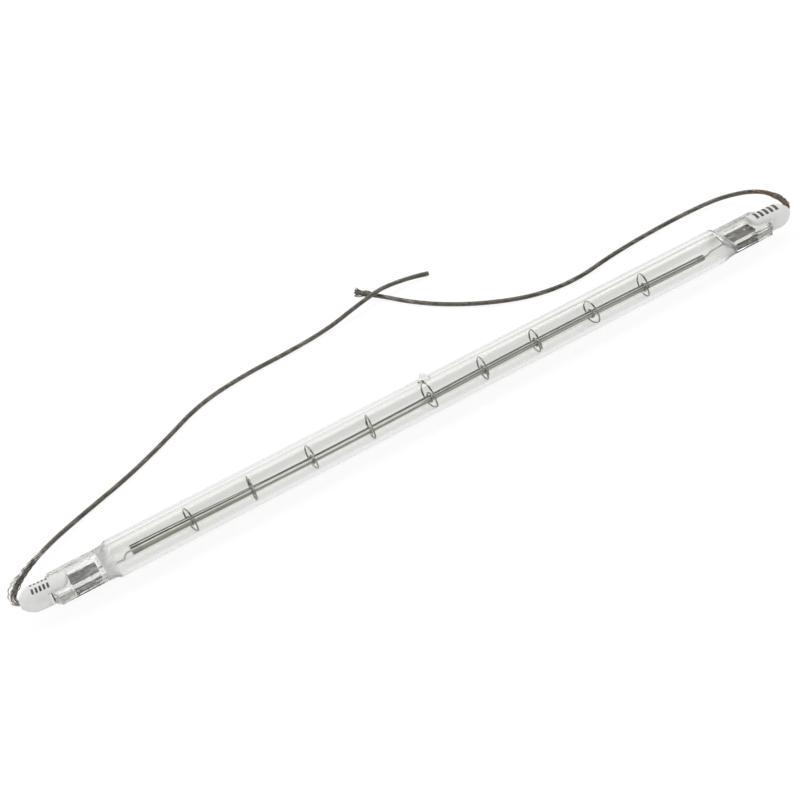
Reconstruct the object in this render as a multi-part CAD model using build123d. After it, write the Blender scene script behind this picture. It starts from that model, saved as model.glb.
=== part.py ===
"""Quartz infrared heat lamp lying on a table, in millimetres.

X runs along the lamp, +Z is up and the floor is z = 0. The origin is under the middle of the tube.
A clear quartz tube is pressed flat at both ends over a thin metal foil, which carries the current
through the seal. Inside, a long coil is held along the tube by nine wire supports. A slotted ceramic
cap is cemented on each flat seal, and a bare stranded lead comes out of the end of each cap.
"""
import os
from math import cos, pi, radians, sin, tan

from build123d import *

os.makedirs("parts", exist_ok=True)

# Quartz tube
BULB_DIAMETER = 9.525
BULB_WALL = 1.1
ROUND_HALF = 86.2
SHOULDER_LENGTH = 3.4

# Press seal at each end
SEAL_LENGTH = 12.6
SEAL_WIDTH = 9.0
SEAL_THICKNESS = 3.3
SEAL_EDGE_RADIUS = 0.7
SEAL_CORNER_CUT = 1.1
SEAL_ROOT = 1.6
WEB_THICKNESS = 2.1
WEB_WIDTH = 5.3
WEB_SETBACK = 0.4
WEB_CORNER_RADIUS = 0.8
BORE_SETBACK = 1.0
BORE_SHOULDER_LENGTH = 3.3
BORE_END_HEIGHT = 0.8
BORE_END_WIDTH = 4.6

# Sealed exhaust stub
STUB_X = -1.8
STUB_LEAN = 30
STUB_HEIGHT = 1.05
STUB_BASE_RADIUS = 1.2
STUB_NECK_RADIUS = 0.65
STUB_TIP_RADIUS = 0.35

# Coil, and its supports with the turn about the coil and the tilt of each
COIL_DIAMETER = 1.7
COIL_WIRE = 0.28
COIL_END_GAP = 3.2
SUPPORT_PITCH = 16.23
SUPPORT_MIDDLE = -1.8
SUPPORT_WIRE = 0.42
SUPPORT_CLEARANCE = 0.36
SUPPORT_GRIP_ARC = 270
SUPPORT_ARM_ARC = 180
SUPPORT_LOOP_ARC = 280
SUPPORT_BENDS = {"grip": 6, "arm": 6, "loop": 11}
SUPPORT_POSES = [(-150, 9), (-60, -4), (40, 3), (-110, -6), (20, 5), (75, -3), (-30, 4), (-130, 7), (60, -5)]

# Foils and the stiff leads welded to them
FOIL_SETBACK = 1.1
FOIL_END_COVER = 3.6
FOIL_WIDTH = 3.5
FOIL_THICKNESS = 0.05
FOIL_CORNER_CUT = 1.2
STIFF_LEAD = 0.5
WELD_LENGTH = 1.6
COIL_PLUG_LENGTH = 2.6
COIL_TAIL = 1.2
JOG_LENGTH = 1.4
INNER_LEAD_OFFSETS = {"left": -0.9, "right": 0.0}
INNER_LEAD_DROPS = {"left": 1.0, "right": 0.2}

# Stranded leads
LEAD_DIAMETER = 1.2
ARC_SHARE = 0.45
HUMP_CLEARANCE = 0.6

# Splice sleeve in the cap
SLEEVE_SETBACK = 0.8
SLEEVE_LENGTH = 4.8
SLEEVE_WALL = 0.4
CRIMP_LENGTH = 2.9
OUTER_LEAD_STOP = 0.9
FLEXIBLE_LEAD_STOP = 0.5

# Ceramic caps
CAP_DIAMETER = 6.4
CAP_BODY_LENGTH = 4.1
NOSE_BEVEL_LENGTH = 1.9
NOSE_BEVEL_DEPTH = 0.9
NOSE_TIP_LENGTH = 1.0
NOSE_TIP_WALL = 0.25
TONGUE_OVERLAP = 4.6
TONGUE_SIDE_GAP = 0.3
TONGUE_CORNER_RADIUS = 1.8
CEMENT_LAYER = 0.15
CEMENT_PAD = 0.4
CEMENT_SQUEEZE = 0.4
CEMENT_INSET = 0.25
PIVOT_GAP = 0.3
CAP_YAWS = {"left": -5.0, "right": -4.0}

# Wires are made with a few flat sides, so that the long thin ones stay light
ROUND_WIRE_SIDES = 8
SUPPORT_WIRE_SIDES = 6

# Clearances
SEAT_GAP = 0.02
GRIP_GAP = 0.03
SLEEVE_SIDE_GAP = 0.15
SLEEVE_END_GAP = 0.1
LEAD_HOLE_GAP = 0.35

SIDES = {"left": -1, "right": 1}

# Places along the lamp, from its middle to its right end
SEAL_START = ROUND_HALF + SHOULDER_LENGTH
SEAL_END = SEAL_START + SEAL_LENGTH
WEB_START = SEAL_START + WEB_SETBACK
BORE_ROUND_HALF = ROUND_HALF - BORE_SETBACK
BORE_END = BORE_ROUND_HALF + BORE_SHOULDER_LENGTH
COIL_HALF = BORE_ROUND_HALF - COIL_END_GAP
JOG_END = COIL_HALF + COIL_TAIL
JOG_START = JOG_END + JOG_LENGTH
FOIL_INNER_END = SEAL_START + FOIL_SETBACK
FOIL_OUTER_END = SEAL_END - FOIL_END_COVER
TONGUE_START = SEAL_END - TONGUE_OVERLAP
CEMENT_START = TONGUE_START - CEMENT_SQUEEZE
CAP_PIVOT = SEAL_END + PIVOT_GAP
CAP_BODY_START = SEAL_END + CEMENT_PAD
CAP_NOSE_START = CAP_BODY_START + CAP_BODY_LENGTH
CAP_BEVEL_END = CAP_NOSE_START + NOSE_BEVEL_LENGTH
CAP_END = CAP_BEVEL_END + NOSE_TIP_LENGTH
SLEEVE_START = CAP_BODY_START + SLEEVE_SETBACK
SLEEVE_STEP = SLEEVE_START + CRIMP_LENGTH
SLEEVE_END = SLEEVE_START + SLEEVE_LENGTH
OUTER_LEAD_END = SLEEVE_STEP - OUTER_LEAD_STOP
LEAD_INNER_END = SLEEVE_STEP + FLEXIBLE_LEAD_STOP
CAP_BORE_END = SLEEVE_END + SLEEVE_END_GAP

# Heights and widths that follow from the sizes above
BULB_BORE = BULB_DIAMETER - 2 * BULB_WALL
AXIS_Z = BULB_DIAMETER / 2
SUPPORT_DIAMETER = BULB_BORE - 2 * SUPPORT_CLEARANCE
COIL_Z = AXIS_Z - SUPPORT_CLEARANCE + SEAT_GAP
COIL_BORE = COIL_DIAMETER - 2 * COIL_WIRE
SLEEVE_DIAMETER = LEAD_DIAMETER + 2 * SLEEVE_WALL
CAP_BORE_DIAMETER = SLEEVE_DIAMETER + 2 * SLEEVE_SIDE_GAP
LEAD_HOLE_DIAMETER = LEAD_DIAMETER + 2 * LEAD_HOLE_GAP
TONGUE_WIDTH = WEB_WIDTH - 2 * TONGUE_SIDE_GAP
TONGUE_SLOT = WEB_THICKNESS + 2 * CEMENT_LAYER
CEMENT_WIDTH = TONGUE_WIDTH - 2 * CEMENT_INSET
LEAD_Z = LEAD_DIAMETER / 2
HUMP_Z = LEAD_Z + LEAD_DIAMETER + HUMP_CLEARANCE

# Points of each lead's route after its straight start inside the cap
LEAD_ROUTES = {
    "left": [
        (-110.6, 0.7, AXIS_Z),
        (-110.1, 5.2, 4.5),
        (-105.6, 11.2, 3.5),
        (-98.0, 18.3, 1.8),
        (-86.0, 24.4, LEAD_Z),
        (-73.0, 29.0, LEAD_Z),
        (-60.5, 35.0, LEAD_Z),
        (-47.5, 42.3, LEAD_Z),
        (-33.2, 45.0, LEAD_Z),
        (-19.0, 45.4, LEAD_Z),
        (-6.5, 46.8, LEAD_Z),
        (3.6, 48.1, HUMP_Z),
        (15.2, 50.9, HUMP_Z),
        (26.2, 49.2, LEAD_Z),
    ],
    "right": [
        (110.9, -0.6, AXIS_Z),
        (112.6, 7.2, 4.5),
        (110.8, 14.6, 3.4),
        (103.8, 20.4, 1.7),
        (93.5, 22.4, LEAD_Z),
        (80.5, 22.0, LEAD_Z),
        (67.5, 20.8, LEAD_Z),
        (54.5, 18.3, LEAD_Z),
        (42.5, 20.1, LEAD_Z),
        (31.5, 26.2, LEAD_Z),
        (22.5, 33.7, LEAD_Z),
        (16.0, 41.5, LEAD_Z),
        (11.5, 48.9, LEAD_Z),
        (7.3, 54.9, LEAD_Z),
    ],
}


def along_x(shape, start):
    """Turns a shape built upward from its base so that it runs along +X from the given place."""
    return Pos(start, 0, AXIS_Z) * Rot(0, 90, 0) * shape


def rod(diameter, start, end):
    """A round rod on the lamp's axis."""
    upright = Cylinder(diameter / 2, end - start, align=(Align.CENTER, Align.CENTER, Align.MIN))
    return along_x(upright, start)


def block(start, end, width, height, middle_z=AXIS_Z):
    """A square block from one place along the lamp to another."""
    middle = Pos((start + end) / 2, 0, middle_z)
    return middle * Box(end - start, width, height)


def wire_section(diameter, path):
    """An eight-sided section across the start of a path, with flats level and upright."""
    outline = RegularPolygon(diameter / 2, ROUND_WIRE_SIDES, rotation=180 / ROUND_WIRE_SIDES)
    return Plane(path @ 0, z_dir=path % 0) * outline


def bent_wire(diameter, *points):
    """A wire of straight lengths with mitred bends."""
    path = Polyline(*points)
    return sweep(wire_section(diameter, path), path, transition=Transition.RIGHT)


def wire_flat(diameter):
    """How far a wire's flats are from its middle."""
    return diameter / 2 * cos(pi / ROUND_WIRE_SIDES)


def waisted_face(round_half, shoulder, wide, narrow, end):
    """An outline along X whose half height steps by an S curve at each end from wide to narrow."""
    step = round_half + shoulder
    middle = (round_half + shoulder / 2, (wide + narrow) / 2)
    upper = Curve() + [
        Line((0, wide), (round_half, wide)),
        TangentArc((round_half, wide), middle, tangent=(1, 0)),
        TangentArc((step, narrow), middle, tangent=(-1, 0)),
        Line((step, narrow), (end, narrow)),
        Line((end, narrow), (end, 0)),
    ]
    right = upper + mirror(upper, about=Plane.XZ)
    return make_face(right + mirror(right, about=Plane.YZ))


def pressed_form(diameter, round_half, shoulder, end, end_width, end_height):
    """A round bar along X that is pressed flat at both ends."""
    radius = diameter / 2
    side = waisted_face(round_half, shoulder, radius, end_height / 2, end)
    plan = waisted_face(round_half, shoulder, radius, end_width / 2, end)
    bar = Rot(0, 90, 0) * Cylinder(radius, 2 * end)
    form = bar & extrude(Plane.XZ * side, radius, both=True) & extrude(plan, radius, both=True)
    return Pos(0, 0, AXIS_Z) * form


def seal_block():
    """The right seal: a rounded flat bar with cut corners and a shallow pocket in each face."""
    start = SEAL_START - SEAL_ROOT
    section = RectangleRounded(SEAL_THICKNESS, SEAL_WIDTH, SEAL_EDGE_RADIUS)
    bar = along_x(extrude(section, SEAL_END - start), start)
    half = SEAL_WIDTH / 2
    cut = SEAL_CORNER_CUT
    outline = make_face(
        Polyline(
            (start, -half),
            (SEAL_END - cut, -half),
            (SEAL_END, -half + cut),
            (SEAL_END, half - cut),
            (SEAL_END - cut, half),
            (start, half),
            close=True,
        )
    )
    return bar & extrude(outline, 2 * AXIS_Z)


def seal_pockets():
    """The space beside the right seal's web, open at the outer end, above and below."""
    length = 2 * (SEAL_END - WEB_START)
    outline = Pos(SEAL_END, 0) * RectangleRounded(length, WEB_WIDTH, WEB_CORNER_RADIUS)
    upper = Pos(0, 0, AXIS_Z + WEB_THICKNESS / 2) * extrude(outline, SEAL_THICKNESS)
    return upper + mirror(upper, about=Plane.XY.offset(AXIS_Z))


def exhaust_stub():
    """A small drawn-off nib that leans back and flares into the tube's wall."""
    radius = BULB_DIAMETER / 2
    root = radius - BULB_WALL / 2
    outline = Polyline(
        (0, root),
        (STUB_BASE_RADIUS, root),
        (STUB_NECK_RADIUS, radius + STUB_HEIGHT / 2),
        (STUB_TIP_RADIUS, radius + STUB_HEIGHT),
        (0, radius + STUB_HEIGHT),
        close=True,
    )
    nib = revolve(Plane.XZ * make_face(outline), Axis.Z)
    return Pos(STUB_X, 0, AXIS_Z) * Rot(-STUB_LEAN, 0, 0) * nib


def quartz_envelope(embedded):
    """The tube, its two seals and its stub as one piece, with room for what is sealed into it."""
    tube = pressed_form(
        BULB_DIAMETER,
        ROUND_HALF,
        SHOULDER_LENGTH,
        SEAL_START + SEAT_GAP,
        SEAL_WIDTH - SEAL_EDGE_RADIUS,
        SEAL_THICKNESS - SEAL_EDGE_RADIUS,
    )
    seal = seal_block()
    pockets = seal_pockets()
    bore = pressed_form(
        BULB_BORE,
        BORE_ROUND_HALF,
        BORE_SHOULDER_LENGTH,
        BORE_END + SEAT_GAP,
        BORE_END_WIDTH,
        BORE_END_HEIGHT,
    )
    solid = tube + seal + mirror(seal, about=Plane.YZ) + exhaust_stub()
    solid -= pockets
    solid -= mirror(pockets, about=Plane.YZ)
    solid -= bore
    for piece in embedded:
        solid -= piece
    return solid


def filament_coil():
    """The outer form of the close-wound coil: a thin-walled tube."""
    tube = rod(COIL_DIAMETER, -COIL_HALF, COIL_HALF) - rod(COIL_BORE, -COIL_HALF, COIL_HALF)
    return Pos(0, 0, COIL_Z - AXIS_Z) * tube


def bend_points(middle, radius, start, sweep_angle, bends):
    """Points along an arc of a bent wire, given the arc's middle along Y and its angles in degrees."""
    angles = [radians(start + sweep_angle * step / bends) for step in range(bends + 1)]
    return [(middle + radius * cos(angle), radius * sin(angle)) for angle in angles]


def filament_support(index):
    """One wire support, bent in short lengths.

    A turn grips the coil, a half round arm leads outward from it, and a loop lies in the tube.
    """
    half_bend = radians(SUPPORT_GRIP_ARC / SUPPORT_BENDS["grip"] / 2)
    grip = ((COIL_DIAMETER + SUPPORT_WIRE) / 2 + GRIP_GAP) / cos(half_bend)
    loop = (SUPPORT_DIAMETER - SUPPORT_WIRE) / 2
    arm = (grip + loop) / 2
    points = bend_points(0, grip, -SUPPORT_GRIP_ARC, SUPPORT_GRIP_ARC, SUPPORT_BENDS["grip"])
    points += bend_points(grip - arm, arm, 0, SUPPORT_ARM_ARC, SUPPORT_BENDS["arm"])[1:]
    points += bend_points(0, loop, SUPPORT_ARM_ARC, SUPPORT_LOOP_ARC, SUPPORT_BENDS["loop"])[1:]
    path = Polyline(*points)
    section = Plane(path @ 0, z_dir=path % 0) * RegularPolygon(SUPPORT_WIRE / 2, SUPPORT_WIRE_SIDES)
    wire = Plane.YZ * sweep(section, path, transition=Transition.RIGHT)
    turn, tilt = SUPPORT_POSES[index]
    place = SUPPORT_MIDDLE + (index - (len(SUPPORT_POSES) - 1) / 2) * SUPPORT_PITCH
    return Pos(place, 0, COIL_Z) * Rot(0, 0, tilt) * Rot(turn, 0, 0) * wire


def seal_foil(side):
    """A thin strip of foil; the outer corner of the right one is cut off."""
    top = AXIS_Z - wire_flat(STIFF_LEAD)
    foil = block(FOIL_INNER_END, FOIL_OUTER_END, FOIL_WIDTH, FOIL_THICKNESS, top - FOIL_THICKNESS / 2)
    if side == "right":
        corner = foil.edges().filter_by(Axis.Z).group_by(Axis.X)[-1].sort_by(Axis.Y)[-1]
        return chamfer(corner, FOIL_CORNER_CUT)
    return mirror(foil, about=Plane.YZ)


def inner_lead(side):
    """The stiff wire that sags from the foil to the coil, with a plug for the coil's end turns."""
    sign = SIDES[side]
    offset = INNER_LEAD_OFFSETS[side]
    wire = bent_wire(
        STIFF_LEAD,
        (sign * (FOIL_INNER_END + WELD_LENGTH), offset, AXIS_Z),
        (sign * BORE_END, offset, AXIS_Z),
        (sign * JOG_START, offset, AXIS_Z - INNER_LEAD_DROPS[side]),
        (sign * JOG_END, 0, COIL_Z),
        (sign * COIL_HALF, 0, COIL_Z),
    )
    plug = bent_wire(
        COIL_BORE - 2 * SEAT_GAP,
        (sign * COIL_HALF, 0, COIL_Z),
        (sign * (COIL_HALF - COIL_PLUG_LENGTH), 0, COIL_Z),
    )
    return wire + plug


def at_end(side, shape):
    """Carries a shape made for the straight right end to its own end, with that cap's yaw."""
    sign = SIDES[side]
    pivot = sign * CAP_PIVOT
    placed = shape if sign > 0 else mirror(shape, about=Plane.YZ)
    return Pos(pivot, 0, 0) * Rot(0, 0, CAP_YAWS[side]) * Pos(-pivot, 0, 0) * placed


def outer_lead(side):
    """The stiff wire from the foil out of the seal, bent at the seal's end where the cap is crooked."""
    sign = SIDES[side]
    start = Vector(sign * (FOIL_OUTER_END - WELD_LENGTH), 0, AXIS_Z)
    corner = Vector(sign * CAP_PIVOT, 0, AXIS_Z)
    reach = Vector(sign * (OUTER_LEAD_END - CAP_PIVOT), 0, 0).rotate(Axis.Z, CAP_YAWS[side])
    return bent_wire(STIFF_LEAD, start, corner, corner + reach)


def end_cap(side):
    """A ceramic cap: a round body with a bevelled nose and two tongues that lie on the seal's web."""
    half = make_face(
        Polyline(
            (CAP_BODY_START, 0),
            (CAP_BODY_START, CAP_DIAMETER / 2),
            (CAP_NOSE_START, CAP_DIAMETER / 2),
            (CAP_BEVEL_END, CAP_DIAMETER / 2 - NOSE_BEVEL_DEPTH),
            (CAP_END, LEAD_HOLE_DIAMETER / 2 + NOSE_TIP_WALL),
            (CAP_END, 0),
            close=True,
        )
    )
    body = Pos(0, 0, AXIS_Z) * revolve(half, Axis.X)
    length = CAP_NOSE_START - TONGUE_START
    outline = Pos(TONGUE_START + length / 2, 0) * RectangleRounded(length, TONGUE_WIDTH, TONGUE_CORNER_RADIUS)
    tongues = extrude(outline, 2 * AXIS_Z) & rod(CAP_DIAMETER, TONGUE_START, CAP_BODY_START + SEAT_GAP)
    tongues -= block(TONGUE_START, CAP_BODY_START, CAP_DIAMETER, TONGUE_SLOT)
    bore = rod(CAP_BORE_DIAMETER, CAP_BODY_START, CAP_BORE_END)
    lead_hole = rod(LEAD_HOLE_DIAMETER, CAP_BORE_END, CAP_END)
    return at_end(side, body + tongues - bore - lead_hole)


def cap_cement(side, pin):
    """The cement between the cap and the seal: a layer on each face of the web and a pad at its end."""
    filled = at_end(side, block(CEMENT_START, CAP_BODY_START, CEMENT_WIDTH, TONGUE_SLOT))
    web = block(WEB_START, SEAL_END, WEB_WIDTH, WEB_THICKNESS)
    return filled - (web if SIDES[side] > 0 else mirror(web, about=Plane.YZ)) - pin


def splice_sleeve(side):
    """A crimp sleeve that joins the stiff outer lead to the stranded one."""
    start = (SLEEVE_START, 0, AXIS_Z)
    step = (SLEEVE_STEP, 0, AXIS_Z)
    end = (SLEEVE_END, 0, AXIS_Z)
    sleeve = bent_wire(SLEEVE_DIAMETER, start, end)
    sleeve -= bent_wire(STIFF_LEAD + 2 * SEAT_GAP, start, step)
    sleeve -= bent_wire(LEAD_DIAMETER + 2 * SEAT_GAP, step, end)
    return at_end(side, sleeve)


def flexible_lead(side):
    """A stranded lead as a plain tube of straight runs and tangent arcs."""
    sign = SIDES[side]
    pivot = Vector(sign * CAP_PIVOT, 0, AXIS_Z)
    start = pivot + Vector(sign * (LEAD_INNER_END - CAP_PIVOT), 0, 0).rotate(Axis.Z, CAP_YAWS[side])
    points = [start] + [Vector(*point) for point in LEAD_ROUTES[side]]
    runs = [b - a for a, b in zip(points, points[1:])]
    turns = [a.get_angle(b) for a, b in zip(runs, runs[1:])]
    arcs = [
        ARC_SHARE * min(a.length, b.length) / tan(radians(turn / 2))
        for a, b, turn in zip(runs, runs[1:], turns)
    ]
    path = FilletPolyline(*points, radius=arcs)
    section = wire_section(LEAD_DIAMETER, path)
    tube = sweep(section, path)
    print(side, "lead length", round(path.length, 1))
    print("  runs", [round(run.length, 1) for run in runs])
    print("  turns", [round(turn) for turn in turns])
    print("  radii", [round(arc, 1) for arc in arcs])
    print("  volume over section times length", round(tube.volume / (section.area * path.length), 4))
    return tube


foils = {side: seal_foil(side) for side in SIDES}
inner_leads = {side: inner_lead(side) for side in SIDES}
outer_leads = {side: outer_lead(side) for side in SIDES}
envelope = quartz_envelope([*foils.values(), *inner_leads.values(), *outer_leads.values()])

nodes = {"quartz_envelope": envelope, "filament_coil": filament_coil()}
for index in range(len(SUPPORT_POSES)):
    nodes[f"filament_support_{index + 1}"] = filament_support(index)
for side in SIDES:
    nodes[f"seal_foil_{side}"] = foils[side]
    nodes[f"inner_lead_{side}"] = inner_leads[side]
    nodes[f"outer_lead_{side}"] = outer_leads[side]
    nodes[f"end_cap_{side}"] = end_cap(side)
    nodes[f"cap_cement_{side}"] = cap_cement(side, outer_leads[side])
    nodes[f"splice_sleeve_{side}"] = splice_sleeve(side)
    nodes[f"flexible_lead_{side}"] = flexible_lead(side)

for name, shape in nodes.items():
    export_step(shape, f"parts/{name}.step")
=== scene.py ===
"""Looks of the quartz infrared heat lamp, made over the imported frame.

Sizes here are in millimetres and become metres when a piece is made. The two lead routes are in metres.
"""

import bmesh
import bpy
import numpy as np
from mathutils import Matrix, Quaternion, Vector


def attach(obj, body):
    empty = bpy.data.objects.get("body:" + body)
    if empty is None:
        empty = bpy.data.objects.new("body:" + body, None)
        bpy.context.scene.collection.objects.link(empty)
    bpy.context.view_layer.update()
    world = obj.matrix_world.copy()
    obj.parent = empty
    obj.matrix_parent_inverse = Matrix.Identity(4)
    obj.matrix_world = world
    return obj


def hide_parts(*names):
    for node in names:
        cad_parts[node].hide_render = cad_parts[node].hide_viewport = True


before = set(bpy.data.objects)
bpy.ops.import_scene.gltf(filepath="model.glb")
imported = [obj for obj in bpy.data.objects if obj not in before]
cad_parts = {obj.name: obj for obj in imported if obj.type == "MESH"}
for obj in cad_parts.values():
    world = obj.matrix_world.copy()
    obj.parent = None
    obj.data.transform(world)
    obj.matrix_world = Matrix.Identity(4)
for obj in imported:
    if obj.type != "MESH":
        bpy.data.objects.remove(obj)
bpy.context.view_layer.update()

MM = 0.001
SIDES = {"left": -1.0, "right": 1.0}
TURN = 2 * np.pi
MERGE_DISTANCE = 1e-8

# quartz envelope
TUBE_RADIUS = 4.7625
AXIS_Z = TUBE_RADIUS
ROUND_HALF = 86.2
SEAL_START = 89.6
SEAL_END = 102.2
SEAL_HALF_WIDTH = 4.75
SEAL_HALF_HEIGHT = 1.43
SEAL_EDGE_RADIUS = 0.35
SEAL_CORNER_CUT = 1.1
SEAL_END_ROUNDING = 0.25
POCKET_START = 90.0
POCKET_NEAR = 3.3
POCKET_FAR = 1.9
POCKET_DEPTH = 0.12
POCKET_CORNER = 0.8
POCKET_SOFTNESS = 0.2
SLOT_START = 97.4
SLOT_HALF_WIDTH = 2.55
SLOT_SOFTNESS = 0.05
WEB_REST = 0.02
BORE_RADIUS = 3.6625
BORE_ROUND_HALF = 86.0
BORE_END = 89.4
BORE_END_HALF_WIDTH = 4.2
BORE_END_HALF_HEIGHT = 0.9
BORE_END_EDGE = 0.3
STUB_X = -0.7
STUB_ANGLE = np.radians(60)
STUB_HEIGHT = 1.3
STUB_TIP_RADIUS = 0.2
STUB_FOOT_RADIUS = 1.6
STUB_HOLLOW_DEPTH = 0.6
STUB_HOLLOW_RADIUS = 1.8

# places of the rings along the envelope, and points in each ring
RING_POINTS = 240
PLAIN_RINGS_START = 4
STUB_RINGS_REACH = 2.0
HOLLOW_RINGS_REACH = 2.5
POCKET_RINGS_END = 91.4
FACE_RINGS_END = 97.0
SLOT_RINGS = (-0.06, -0.03, 0.0, 0.03, 0.06)
TONGUE_RINGS_START = 97.6
CORNER_RINGS_START = 101.0

# marks on the quartz: press marks, soft and milky parts, and edges tinted with painted dark reflections
PRESS_MARKS = {"left": 1.6, "right": 0.7}
SHOULDER_MARK = (85.6, 87.0, 89.2, 90.2)
SHOULDER_SIDES = (1.0, 3.4)
SQUEEZED_LENGTH = 1.2
MILKY_SHOULDERS = {"left": 0.3, "right": 0.1}
MILKY_STUB = 0.9
STUB_MARK_END = 2.0
FLANGE_PAINTED_REFLECTIONS = {"left": 0.25, "right": 0.45}
RIM_PAINTED_REFLECTION = 0.5
RIM_EDGE = (3.9, 4.5)

# filament, supports and seal foils
COIL_Z = 4.4225
COIL_HALF = 82.0
COIL_RADIUS = 0.85
COIL_DIP = 0.035
COIL_PITCH = 0.45
COIL_ROWS_PER_TURN = 6
COIL_SWELL = 0.38
COIL_SWELL_START = -45
COIL_SWELL_LENGTH = 37
# places where the coil's painted highlight and reflection stripes change their pattern
CLOSE_STRIPES_END = (-56, -46)
SPLIT_STRIPES_START = (-8, 2)
COIL_PLUG = (79.4, 80.05)
# share of painted shade on the coil's last turns, where the plug fills it
PLUG_SHADE = 0.27
COIL_BOW = [-1.84, 0.33, 3.65, -0.47, -1.25, 0.64]
SUPPORT_WIRE = 0.42
SUPPORT_SIDES = 10
SUPPORT_GRIP_RADIUS = 1.09
SUPPORT_GRIP_TURN = 270
SUPPORT_ARM_TURN = 180
SUPPORT_PITCH = 16.23
SUPPORT_MIDDLE = -1.8
MIDDLE_SUPPORT = 4
# radius, lift and last angle of a support's loop, which is wider and longer at the middle one
PLAIN_LOOP = (3.0925, 0.0, 460)
WIDE_LOOP = (3.4, 0.3, 505)
# turn about the tube's axis and lean of each support, in degrees, and its shift along the tube
SUPPORT_POSES = [(-150, 9), (-60, -4), (40, 3), (-110, -6), (20, 5), (75, -3), (85, -2), (-130, 7), (60, -5)]
SUPPORT_SHIFTS = [0.0, 0.0, 0.0, 0.0, 0.6, 0.0, -0.7, 0.0, 0.0]
STIFF_WIRE = 0.5
STIFF_WIRE_SIDES = 12
LEAD_BEND = 88.5
JOG_START = 84.6
JOG_END = 83.2
PLUG_END = 79.4
PLUG_RADIUS = 0.56
PLUG_SIDES = 16
WELD_END = 92.3
INNER_LEAD_OFFSETS = {"left": -0.9, "right": 0.0}
INNER_LEAD_DROPS = {"left": 0.6, "right": 0.35}
FOIL_STARTS = {"left": 90.6, "right": 90.1}
FOIL_END = 98.6
FOIL_HALF_WIDTH = 2.15
FOIL_MIDDLE = -0.45
FOIL_THICKNESS = 0.05
FOIL_Z = AXIS_Z - 0.4
FOIL_CORNER_CUT = 1.2
FOIL_TONES = {
    "left": ((0.11, 0.113, 0.115), (0.36, 0.365, 0.36)),
    "right": ((0.13, 0.122, 0.107), (0.28, 0.265, 0.232)),
}
WELD_SPOT = (95.9, 0.3)
WELD_SPOT_RADIUS = 0.3
FOIL_TEARS = {"left": 0.3, "right": 0.08}
# waves of the foil: height, rate and phase along its torn edge; height and rates along and across its face
FOIL_TEAR_WAVES = ((0.6, 2.9, 0.5), (0.4, 7.3, 0.0))
FOIL_FACE_WAVES = ((0.03, 1.7, 0.6), (0.02, 0.9, -1.3))

# end caps
CAP_PIVOT = 102.5
CAP_YAWS = {"left": -5.0, "right": -4.0}
CAP_RADIUS = 3.2
CAP_START = 102.6
NOSE_START = 106.7
BEVEL_END = 108.6
BEVEL_RADIUS = 2.3
CAP_END = 109.6
TIP_RADIUS = 1.2
HOLE_RADIUS = 0.95
CAP_BORE_RADIUS = 1.15
CAP_BORE_END = 108.3
TONGUE_START = 97.6
TONGUE_HALF_WIDTH = 2.35
TONGUE_NEAR_CORNER = 2.2
TONGUE_FAR_CORNER = 0.7
TONGUE_INNER = 1.2
TONGUE_ROOT = 0.5
TONGUE_BLUNTNESS = 0.35
INK_ANGLES = {"left": (95, 121), "right": (56, 114)}
INK_REACHES = {"left": (-0.9, 3.75), "right": (-3.6, 3.75)}
INK_ROWS = ((-1.73, -0.77), (0.0, 1.0))
INK_HALF_PITCH = 0.1
INK_BAR_EDGE = 0.042
CEMENT_START = 97.5
CEMENT_HALF_WIDTH = 2.42
CEMENT_TIP = 0.6
CEMENT_TOP = 1.5
CEMENT_GAP = 0.03
CEMENT_BLUNTNESS = 0.3
CEMENT_SEEDS = {"left": 2, "right": 3}
# height and rate of the waves along a cement bar's edge
CEMENT_WAVES = ((0.04, 2.3), (0.03, 4.1))
PAD_HALF_WIDTH = 3.3
PAD_HALF_HEIGHT = 1.9
PAD_BLUNTNESS = 0.6
# height, rate and phase of the lumps round the pad, and each of its rings' place and share of the full size
PAD_LUMPS = ((0.03, 5, 0.0), (0.02, 11, 1.0))
PAD_RINGS = (
    (SEAL_END + CEMENT_GAP, 0.9), (SEAL_END + 0.08, 0.97), (SEAL_END + 0.2, 1.0), (CAP_START + 0.05, 0.98),
)

# stranded leads: diameter in millimetres, routes in metres
LAYER_RADII = (0.0, 0.24, 0.475)
LAYER_STRANDS = (1, 6, 12)
STRAND_RADIUS = 0.125
STRAND_SIDES = 6
STRAND_LAY = 13.0
STRAND_SEEDS = {"left": 4, "right": 9}
LEAD_ROUTES = {
    "left": [
        (-0.106784, 0.000375, 0.0047625), (-0.1106, 0.0007, 0.0047625), (-0.1101, 0.0052, 0.0045),
        (-0.1056, 0.0112, 0.0035), (-0.0980, 0.0183, 0.0018), (-0.0860, 0.0244, 0.0006),
        (-0.0730, 0.0290, 0.0006), (-0.0605, 0.0350, 0.0006), (-0.0475, 0.0423, 0.0006),
        (-0.0332, 0.0450, 0.0006), (-0.0190, 0.0454, 0.0006), (-0.0065, 0.0468, 0.0006),
        (0.0036, 0.0481, 0.0024), (0.0152, 0.0509, 0.0024), (0.0262, 0.0492, 0.0006),
    ],
    "right": [
        (0.106790, -0.000300, 0.0047625), (0.1109, -0.0006, 0.0047625), (0.1126, 0.0072, 0.0045),
        (0.1108, 0.0146, 0.0034), (0.1038, 0.0204, 0.0017), (0.0935, 0.0224, 0.0006),
        (0.0805, 0.0220, 0.0006), (0.0675, 0.0208, 0.0006), (0.0545, 0.0183, 0.0006),
        (0.0425, 0.0201, 0.0006), (0.0315, 0.0262, 0.0006), (0.0225, 0.0337, 0.0006),
        (0.0160, 0.0415, 0.0006), (0.0115, 0.0489, 0.0006), (0.0063, 0.0550, 0.0015),
    ],
}
LEAD_CURVE_STEPS = 24
LEAD_CURVE_ORDER = 3
LOOSE_STRANDS = {"left": [8, 10, 12, 14, 16, 18], "right": []}
LOOSE_REACH = (-1.2, 0.3, 0.3)
LOOSE_SHARES = (0.5, 1.0)
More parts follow.
